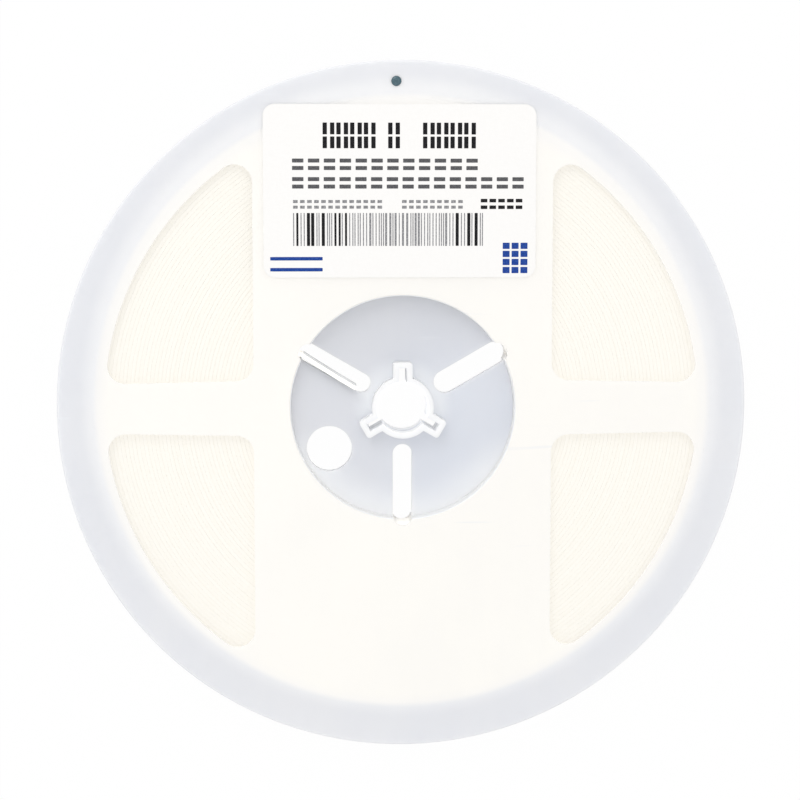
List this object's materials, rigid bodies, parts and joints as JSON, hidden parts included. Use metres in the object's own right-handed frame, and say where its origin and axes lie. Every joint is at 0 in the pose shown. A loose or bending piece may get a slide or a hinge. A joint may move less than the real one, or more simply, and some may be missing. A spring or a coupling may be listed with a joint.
{
  "type": "carrier tape reel",
  "caption": "Translucent plastic reel with four windows and a keyed hub, wound with paper carrier tape for surface-mount parts, with a plain label.",
  "frame": {"origin": "on the reel's axis, in the plane of the rear flange's outer face", "axes": "+Z along the reel's axis to the label side, +Y to the top edge of the label, +X to its right"},
  "size_m": [0.178, 0.178, 0.0117],
  "materials": {
    "milky_plastic": "translucent satin polystyrene",
    "tape_paper": "matt cream paper",
    "adhesive_film": "clear adhesive film",
    "label_paper": "matt white paper",
    "dark_ink": "glossy dark ink"
  },
  "bodies": {
    "root": {"front_half": "milky_plastic", "rear_half": "milky_plastic", "carrier_tape": "tape_paper", "end_tab": "adhesive_film", "label": "label_paper", "ink_dot": "dark_ink"}
  },
  "joints": []
}
